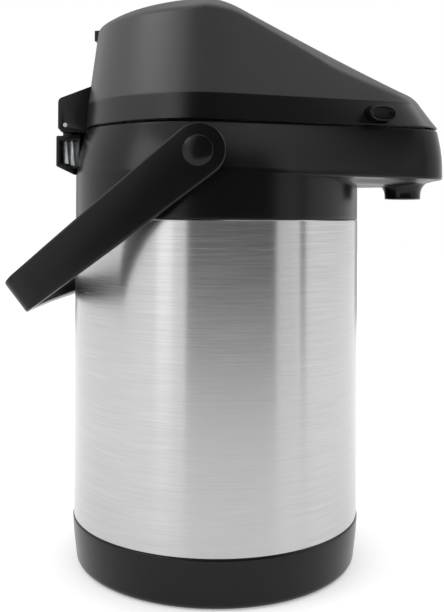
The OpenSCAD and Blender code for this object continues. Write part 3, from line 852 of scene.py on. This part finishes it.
def strap_form():
    """The strap: a rounded section carried along a U, wide at the pivots and waisted in the grip.

    The grip bows outward with the square of y. The width tapers along the arms with the 1.15th
    power of the distance, and grows with the square of y in the grip.
    """
    reach = shape_mm("grip_reach")
    bend, bow, eye_r = 5.0, 3.3, 14
    tip = reach - bow
    along = np.linspace(0, tip - bend, 26)
    arm = np.stack([along, np.full(26, -ARM_Y)], -1)
    corner = arc((tip - bend, -ARM_Y + bend), bend, -90, 0, 9)[1:-1]
    y = np.linspace(-ARM_Y + bend, 0, 26)
    grip = np.stack([reach - bow * (y / ARM_Y) ** 2, y], -1)
    half = np.concatenate([arm, corner, grip])
    path = np.concatenate([half, half[-2::-1] * [1, -1]])
    out = -left_of(unit(np.gradient(path, axis=0)))
    arm_half = eye_r - 4.2 * np.clip(path[:, 0] / tip, 0, 1) ** 1.15
    grip_half = 7.25 + 2.4 * np.clip(path[:, 1] / (ARM_Y - 2.5), -1, 1) ** 2
    share = np.clip((path[:, 0] - (tip - bend)) / bend, 0, 1)
    width = arm_half * (1 - share) + grip_half * share
    thick, edge = (ARM_OUT - 85) / 2, 1.25
    turn = np.radians(np.concatenate([np.linspace(q, q + 90, 5) for q in (0, 90, 180, 270)]))
    sign_out = np.repeat([1, -1, -1, 1], 5)
    sign_up = np.repeat([1, 1, -1, -1], 5)
    across = sign_out * (thick - edge) + edge * np.cos(turn)
    upward = sign_up * (width[:, None] - edge) + edge * np.sin(turn)
    rows = np.empty((len(path), 20, 3))
    rows[..., :2] = path[:, None] + out[:, None] * across[None, :, None]
    rows[..., 2] = upward
    eye = [(0.0, -thick), (eye_r - edge, -thick)] + arc((eye_r - edge, -thick + edge), edge, -90, 0, 5).tolist()
    eye += arc((eye_r - edge, thick - edge), edge, 0, 90, 5).tolist() + [(0.0, thick)]
    disc = lathe(np.array(eye) * [1, 0.999], steps=96, close=False)
    eyes = [moved(disc, (0, side * ARM_Y, 0), lie_along_y(side)) for side in (-1, 1)]
    whole = joined(grid_shape(rows, caps=True), *eyes)
    return moved(whole, (0, 0, PIVOT_Z), turn_y(180 - bpy.context.scene.airpot_shape.rest_deg))


def on_pivot(profile, side):
    """A profile turned about the pivots' line, on one side."""
    return moved(lathe(profile, steps=96, close=False), (0, 0, PIVOT_Z), lie_along_y(side))


def cap_form(side):
    """A pivot's pin and its shallow cap, turned; the dome is 7.9 cos^0.8 wide and 1.8 sin^1.3 high."""
    turn = np.radians(np.linspace(0, 90, 15))
    dome = np.stack([7.9 * np.cos(turn) ** 0.8, 90.1 + 1.8 * np.sin(turn) ** 1.3], -1)
    profile = [(0, 66), (3.7, 66), (4, 66.3), (4, 90.0), (7.9, 90.0)] + dome[:-1].tolist() + [(0, 91.9)]
    return on_pivot(profile, side)


def boss_form(side):
    """The round boss under a pivot, its outer edge eased."""
    profile = [(0, 68), (12, 68), (12, 83.9)] + arc((11.4, 83.9), 0.6, 0, 90, 4).tolist() + [(0, 84.5)]
    return on_pivot(profile, side)


# Body

def base_form():
    """The base cover, turned: rounded foot, slightly flared side, eased rim, and a floor with a rib."""
    profile = [(0, 0), (40, 0), (61.8, 0), (62, 0.2), (62, 1.4), (70, 1.4), (70, 0.2), (70.2, 0)]
    profile += arc((77, 4.5), 4.5, -90, -6, 12).tolist()
    profile += [(82.0, 9), (82.6, 14), (83.05, 19), (83.4, 24)]
    profile += arc((82.5, 26), 1.0, 0, 90, 6).tolist() + [(80.9, 27), (80.7, 26.8), (80.7, 19), (76, 8.6), (71, 2.6)]
    profile += [(69, 2.6), (69, 20), (67, 20), (67, 2.6), (0, 2.6)]
    return lathe(profile, close=False)


def screw_wells():
    """Three stepped holes for the base screws."""
    wells = []
    for turn in (0, 120, 240):
        x, y = BASE_SCREW_R * math.cos(math.radians(turn)), BASE_SCREW_R * math.sin(math.radians(turn))
        wells.append(lathe([(0, -1), (4.2, -1), (4.2, 5), (2.1, 5), (2.1, 12), (0, 12)], (x, y), 32, close=False))
    return joined(*wells)


def shell_form():
    """The steel shell, turned: plain wall, stepped ends and the hidden shoulder up to the neck."""
    r = SHELL_R
    outer = [(r - 2.4, 20), (r - 2.4, 26.9), (r - 0.35, 27.05), (r, 27.4), (r, 60), (r, 110), (r, 160), (r, 196.8),
             (r - 0.3, 197.15), (r - 3.0, 197.25)]
    turn = np.radians(np.linspace(0, 90, 11))
    outer += np.stack([46.5 + 33.5 * np.cos(turn), 202.3 + 14 * np.sin(turn)], -1).tolist()
    outer = np.array(outer + [(NECK_R, 219.7), (NECK_R, 231.4)])
    inner = outer + 0.8 * left_of(unit(np.gradient(outer, axis=0)))
    inner[0, 1], inner[-1, 1] = outer[0, 1], outer[-1, 1]
    return lathe(np.concatenate([outer, inner[::-1]]))


def bellows_form():
    """Five rounded folds of rubber: the radius swings between 29.2 and 33.8 with a cosine."""
    z = np.linspace(FOLD_LOW, FOLD_HIGH, 61)
    wave = np.cos((z - FOLD_LOW) / (FOLD_HIGH - FOLD_LOW) * 10 * np.pi)
    outer = np.stack([31.5 - 2.3 * wave, z], -1)
    inner = outer[::-1] - [1.0, 0]
    return lathe(np.concatenate([outer, inner]), (BUTTON_X, 0), 96)


def spring_form():
    """The pump spring: round wire along a helix, its end turns closed."""
    turn = np.linspace(0, 6, 289)
    rise = np.interp(turn, [0, 0.7, 5.3, 6], [0, 0.04, 0.96, 1])
    path = level(ring_at(BUTTON_X, 22, 2 * np.pi * turn), FOLD_LOW + 0.9 + 39.2 * rise)
    return tube(path, 0.9, 10)


# Settings

class AirpotShape(bpy.types.PropertyGroup):
    """Sizes of the visible forms."""
    crown_z: bpy.props.FloatProperty(
        name="Crown height", description="Height of the lid's highest point", default=0.3225, unit="LENGTH")
    crease_z: bpy.props.FloatProperty(
        name="Lid crease", description="Height where the lid's wall starts to lean in", default=0.263, unit="LENGTH")
    nose_x: bpy.props.FloatProperty(
        name="Nose reach", description="Distance from the axis to the nose at the lid's seam", default=0.1285,
        unit="LENGTH")
    nose_r: bpy.props.FloatProperty(
        name="Nose radius", description="Radius of the nose in plan", default=0.0246, unit="LENGTH")
    grip_reach: bpy.props.FloatProperty(
        name="Grip reach", description="Distance from the pivot to the middle of the grip", default=0.1213,
        unit="LENGTH")
    rest_deg: bpy.props.FloatProperty(
        name="Handle rest", description="Degrees that the resting handle hangs below the horizontal", default=38.5)


class AirpotFinish(bpy.types.PropertyGroup):
    """Colours and gloss of the finishes."""
    body_black: bpy.props.FloatVectorProperty(
        name="Body black", description="Colour of the head, base and handle", subtype="COLOR",
        default=(0.0035, 0.0035, 0.0038), min=0, max=1)
    body_gloss: bpy.props.FloatProperty(
        name="Body roughness", description="Roughness of the black plastic", default=0.24, min=0, max=1)
    # The lid's own charcoal; below the crease the lid's band is darkened to the body's black as painted shade.
    lid_charcoal: bpy.props.FloatVectorProperty(
        name="Lid charcoal", description="Colour of the lid above its crease", subtype="COLOR",
        default=(0.032, 0.032, 0.033), min=0, max=1)
    lid_gloss: bpy.props.FloatProperty(
        name="Lid roughness", description="Roughness of the lid's plastic", default=0.34, min=0, max=1)
    steel: bpy.props.FloatVectorProperty(
        name="Steel", description="Colour of the stainless steel", subtype="COLOR",
        default=(0.49, 0.49, 0.492), min=0, max=1)
    steel_gloss: bpy.props.FloatProperty(
        name="Steel roughness", description="Roughness of the brushed steel", default=0.24, min=0, max=1)
    grey: bpy.props.FloatVectorProperty(
        name="Grey plastic", description="Colour of the inner plastic parts", subtype="COLOR",
        default=(0.14, 0.145, 0.15), min=0, max=1)
    rubber: bpy.props.FloatVectorProperty(
        name="Rubber", description="Colour of the gaskets, bellows and foot ring", subtype="COLOR",
        default=(0.016, 0.016, 0.017), min=0, max=1)


class AirpotStage(bpy.types.PropertyGroup):
    """Camera and light."""
    camera_turn: bpy.props.FloatProperty(
        name="Camera turn", description="Degrees from the front, positive towards the spout", default=6.0)
    camera_distance: bpy.props.FloatProperty(
        name="Camera distance", description="From the body's axis", default=0.514, unit="LENGTH")
    camera_height: bpy.props.FloatProperty(
        name="Camera height", description="Above the floor", default=0.1997, unit="LENGTH")
    camera_lens: bpy.props.FloatProperty(name="Lens", description="Focal length in millimetres", default=50.65)
    camera_roll: bpy.props.FloatProperty(
        name="Camera roll", description="Degrees, positive clockwise in the picture", default=0.3)
    shift: bpy.props.FloatVectorProperty(
        name="Shift", description="Framing shift of the lens, sideways and up", size=2, default=(0.009, -0.149))
    surround: bpy.props.FloatProperty(
        name="Surround", description="Brightness of the white surround", default=1.0, min=0)
    key: bpy.props.FloatProperty(
        name="Key light", description="Power of the left softbox, in watts", default=0.8, min=0)
    fill: bpy.props.FloatProperty(
        name="High fill", description="Power of the high softboxes, in watts", default=3.0, min=0)


# Operators

class AIRPOT_OT_base(bpy.types.Operator):
    """Turns the base cover with its rounded foot and screw wells"""
    bl_idname = "airpot.base"
    bl_label = "Base cover"

    def execute(self, context):
        piece("base_skin", base_form(), "airpot", "satin_plastic", ["base_cover"], cuts=[screw_wells()])
        return {"FINISHED"}


class AIRPOT_OT_shell(bpy.types.Operator):
    """Turns the brushed steel shell"""
    bl_idname = "airpot.shell"
    bl_label = "Steel shell"

    def execute(self, context):
        piece("steel_skin", shell_form(), "airpot", "brushed_steel", ["outer_shell"])
        return {"FINISHED"}


class AIRPOT_OT_head(bpy.types.Operator):
    """Builds the head's skin, its deck and the bosses of the handle"""
    bl_idname = "airpot.head"
    bl_label = "Head"

    def execute(self, context):
        side = BRACKET_HIGH[1] + 0.2
        notch = prism([(-95, 222.4), (-81, 222.4), (-81, 226), (-77.2, 226), (-77.2, 245.99), (-69, 245.99), (-69, 252),
                       (-95, 252)], -side, side)
        piece("head_skin", head_form(), "airpot", "satin_plastic", ["shoulder"], cuts=[notch])
        slots = joined(*[latch_spot(side, block((-6, -9.4, -13.1), (6, -4.4, -8.6))) for side in (1, -1)])
        piece("head_deck", deck_form(), "airpot", "satin_plastic", cuts=[slots])
        for side, name in ((1, "left"), (-1, "right")):
            piece("handle_boss_" + name, boss_form(side), "airpot", "satin_plastic")
        return {"FINISHED"}


class AIRPOT_OT_nozzle(bpy.types.Operator):
    """Turns the flared spout under the beak"""
    bl_idname = "airpot.nozzle"
    bl_label = "Spout"

    def execute(self, context):
        piece("spout_flare", nozzle_form(), "airpot", "satin_plastic", ["spout_cover"])
        return {"FINISHED"}


class AIRPOT_OT_lid(bpy.types.Operator):
    """Builds the lid's skin with its latch holes, and the pump button"""
    bl_idname = "airpot.lid"
    bl_label = "Lid and button"

    def execute(self, context):
        hole = grid_shape(np.stack([oval_row(16.7, 9.8, y) for y in (-6, 6)]), caps=True)
        holes = [latch_spot(side, moved(hole, (LATCH_SLIDE, 0, 0))) for side in (1, -1)]
        openings = joined(*holes, block((-80, -7.4, 302.6), (-60, 7.4, 309.9)))
        piece("lid_skin", lid_form(), "lid", "lid_plastic", ["lid_cover"], cuts=[openings])
        piece("button_cap", button_form(), "pump", "lid_plastic", ["push_button"])
        return {"FINISHED"}


class AIRPOT_OT_latches(bpy.types.Operator):
    """Builds the two latch buttons"""
    bl_idname = "airpot.latches"
    bl_label = "Latch buttons"

    def execute(self, context):
        for side, name in ((1, "left"), (-1, "right")):
            piece("latch_cap_" + name, latch_spot(side, latch_form()), "latch_" + name, "satin_plastic",
                  ["latch_button_" + name])
        return {"FINISHED"}


class AIRPOT_OT_lock(bpy.types.Operator):
    """Builds the pump lock's slider: a block with a shank, its edges rounded"""
    bl_idname = "airpot.lock"
    bl_label = "Pump lock"

    def execute(self, context):
        body = block((-73.2, -7, 303), (-66, 7, 309.5))
        shank = block((-67, -5, 303), (-61.2, 5, 306))
        piece("lock_cap", joined(body, shank), "lock", "satin_plastic", ["lock_slider"], bevel=0.6)
        return {"FINISHED"}


class AIRPOT_OT_hinge(bpy.types.Operator):
    """Builds the hinge's bracket and tongue, and the hood on the lid that covers them"""
    bl_idname = "airpot.hinge"
    bl_label = "Hinge"

    def execute(self, context):
        piece("bracket_wedge", bracket_form(), "airpot", "satin_plastic", ["hinge_bracket"],
              cuts=[bracket_pocket(-1), bracket_pocket(1)], bevel=0.35)
        piece("bracket_tongue", bracket_tongue_form(), "airpot", "satin_plastic", bevel=0.3)
        piece("bracket_ribs", bracket_ribs_form(), "airpot", "grey_plastic",
              material=streaked_grey("airpot_worn_grey", context.scene.airpot_finish.grey))
        piece("hinge_hood", hinge_cover_form(), "lid", "satin_plastic", ["hinge_cover"], bevel=0.5,
              cuts=hood_hollow())
        return {"FINISHED"}


class AIRPOT_OT_handle(bpy.types.Operator):
    """Builds the strap handle and the caps on its pivots"""
    bl_idname = "airpot.handle"
    bl_label = "Handle"

    def execute(self, context):
        piece("strap", strap_form(), "handle", "satin_plastic", ["handle"])
        for side, name in ((1, "left"), (-1, "right")):
            piece("pivot_cap_" + name, cap_form(side), "airpot", "satin_plastic", ["pivot_pin_" + name])
        return {"FINISHED"}


class AIRPOT_OT_pump(bpy.types.Operator):
    """Builds the rubber bellows and the spring in it, each on a mesh of its own"""
    bl_idname = "airpot.pump"
    bl_label = "Bellows and spring"

    def execute(self, context):
        folds = piece("bellows_folds", bellows_form(), "lid", "black_rubber", ["bellows"])
        wire = piece("pump_wire", spring_form(), "lid", "plain_steel", ["pump_spring"])
        for item in (folds, wire):
            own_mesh(item)
        return {"FINISHED"}


class AIRPOT_OT_inner_parts(bpy.types.Operator):
    """Gives every remaining part of the model its own finish"""
    bl_idname = "airpot.inner_parts"
    bl_label = "Inner parts"

    SLOTS = {
        "plain_steel": ("base_screws", "weld_nuts", "shell_bottom", "getter_cap", "flask_liner", "dip_tube",
                        "check_ball", "spout_pipe", "hinge_pin", "lid_screws", "latch_spring_left",
                        "latch_spring_right"),
        "grey_plastic": ("stem_holder", "handle_washers", "lid_base", "plunger"),
        "black_rubber": ("foot_ring", "mouth_gasket", "stem_o_ring", "lid_gasket", "air_valve"),
        "satin_plastic": ("neck_ring",),
    }

    def execute(self, context):
        for slot, nodes in self.SLOTS.items():
            for node in nodes:
                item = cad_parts[node]
                item.data.materials.clear()
                item.data.materials.append(finish_for(slot))
        return {"FINISHED"}


class AIRPOT_OT_stage(bpy.types.Operator):
    """Sets the floor, the white surround, the softboxes, the reflection flags and the camera"""
    bl_idname = "airpot.stage"
    bl_label = "Stage"

    def execute(self, context):
        look = context.scene.airpot_stage
        paper = plain_matt("paper", (0.88, 0.88, 0.88), 0.8, 0.3)
        dark = plain_matt("flag_cloth", (0.004, 0.004, 0.004), 0.9)
        panel("floor", np.array([[[-4, -4, 0], [4, -4, 0]], [[-4, 4, 0], [4, 4, 0]]]), paper)
        turn = look.camera_turn
        far = 1.15
        curved_flag("flag_front", turn, (-22, 45.5), (far, far), (0.0, 2.4), dark)
        curved_flag("flag_high", turn, (45.5, 60), (far, far), (0.42, 2.4), dark)
        curved_flag("flag_right", turn, (66, 71), (far, far), (0.0, 0.6), dark)
        curved_flag("flag_floor", turn, (-22, 62), (0.85, far), (0.002, 0.002), dark)
        grey = plain_matt("grey_cloth", (0.4, 0.4, 0.4), 0.9)
        curved_flag("flag_back", turn, (146, 214), (far, far), (0.0, 1.4), grey)
        world = bpy.data.worlds.new("surround")
        world.use_nodes = True
        world.node_tree.nodes["Background"].inputs["Color"].default_value = (1, 1, 1, 1)
        world.node_tree.nodes["Background"].inputs["Strength"].default_value = look.surround
        context.scene.world = world
        context.scene.view_settings.view_transform = "Standard"
        softbox(turn - 39, 1.3, 0.5, (0.3, 1.3), look.key, "softbox_left")
        softbox(turn - 62, 1.1, 1.0, (0.6, 0.6), look.fill, "softbox_high_left")
        softbox(turn + 104, 1.1, 1.0, (0.6, 0.6), look.fill * 0.6, "softbox_high_right")
        angle = math.radians(turn)
        lens = bpy.data.cameras.new("camera")
        lens.lens = look.camera_lens
        lens.sensor_width = 36.0
        lens.clip_start = 0.01
        lens.shift_x, lens.shift_y = look.shift
        camera = bpy.data.objects.new("camera", lens)
        distance = look.camera_distance
        camera.location = (distance * math.sin(angle), -distance * math.cos(angle), look.camera_height)
        upright = Euler((math.pi / 2, 0, angle)).to_matrix()
        camera.rotation_euler = (upright @ Matrix.Rotation(math.radians(look.camera_roll), 3, "Z")).to_euler()
        context.scene.collection.objects.link(camera)
        context.scene.camera = camera
        return {"FINISHED"}


def panel(name, points, material):
    """A stage surface from a grid of points in metres."""
    flat, faces = grid_shape(points, wrap=False)
    mesh = bpy.data.meshes.new(name)
    mesh.from_pydata(flat.tolist(), [], faces)
    mesh.materials.append(material)
    item = bpy.data.objects.new(name, mesh)
    bpy.context.scene.collection.objects.link(item)
    return item


def curved_flag(name, turn, angles, radii, heights, material):
    """A cloth band round the axis, between two angles from the camera's direction; only reflections show it."""
    angle = np.radians(turn + np.linspace(*angles, 24))
    radius = np.reshape(radii, (2, 1))
    height = np.reshape(heights, (2, 1)) + 0 * angle
    item = panel(name, np.stack([radius * np.sin(angle), -radius * np.cos(angle), height], -1), material)
    item.visible_camera = item.visible_diffuse = item.visible_shadow = False


def softbox(turn, distance, height, size, power, name):
    """A rectangular light that faces the axis."""
    light = bpy.data.lights.new(name, "AREA")
    light.shape = "RECTANGLE"
    light.size, light.size_y = size
    light.energy = power
    item = bpy.data.objects.new(name, light)
    angle = math.radians(turn)
    item.location = (distance * math.sin(angle), -distance * math.cos(angle), height)
    item.rotation_euler = (Vector((0, 0, 0.17)) - item.location).to_track_quat("-Z", "Y").to_euler()
    item.visible_camera = False
    bpy.context.scene.collection.objects.link(item)


STEPS = (AIRPOT_OT_stage, AIRPOT_OT_base, AIRPOT_OT_shell, AIRPOT_OT_head, AIRPOT_OT_nozzle, AIRPOT_OT_lid,
         AIRPOT_OT_latches, AIRPOT_OT_lock, AIRPOT_OT_hinge, AIRPOT_OT_handle, AIRPOT_OT_pump, AIRPOT_OT_inner_parts)


class AIRPOT_PT_panel(bpy.types.Panel):
    """Sizes, finishes and building steps"""
    bl_label = "Airpot"
    bl_space_type = "VIEW_3D"
    bl_region_type = "UI"
    bl_category = "Airpot"

    def draw(self, context):
        scene = context.scene
        for group in (scene.airpot_shape, scene.airpot_finish, scene.airpot_stage):
            box = self.layout.box()
            for name in group.__annotations__:
                box.prop(group, name)
        for step in STEPS:
            self.layout.operator(step.bl_idname)


CLASSES = (AirpotShape, AirpotFinish, AirpotStage, *STEPS, AIRPOT_PT_panel)


def register():
    for item in CLASSES:
        bpy.utils.register_class(item)
    bpy.types.Scene.airpot_shape = bpy.props.PointerProperty(type=AirpotShape)
    bpy.types.Scene.airpot_finish = bpy.props.PointerProperty(type=AirpotFinish)
    bpy.types.Scene.airpot_stage = bpy.props.PointerProperty(type=AirpotStage)


def unregister():
    del bpy.types.Scene.airpot_shape
    del bpy.types.Scene.airpot_finish
    del bpy.types.Scene.airpot_stage
    for item in reversed(CLASSES):
        bpy.utils.unregister_class(item)


def main():
    """Registers the add-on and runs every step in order."""
    register()
    for step in STEPS:
        getattr(bpy.ops.airpot, step.bl_idname.split(".")[1])()


if __name__ == "__main__":
    main()
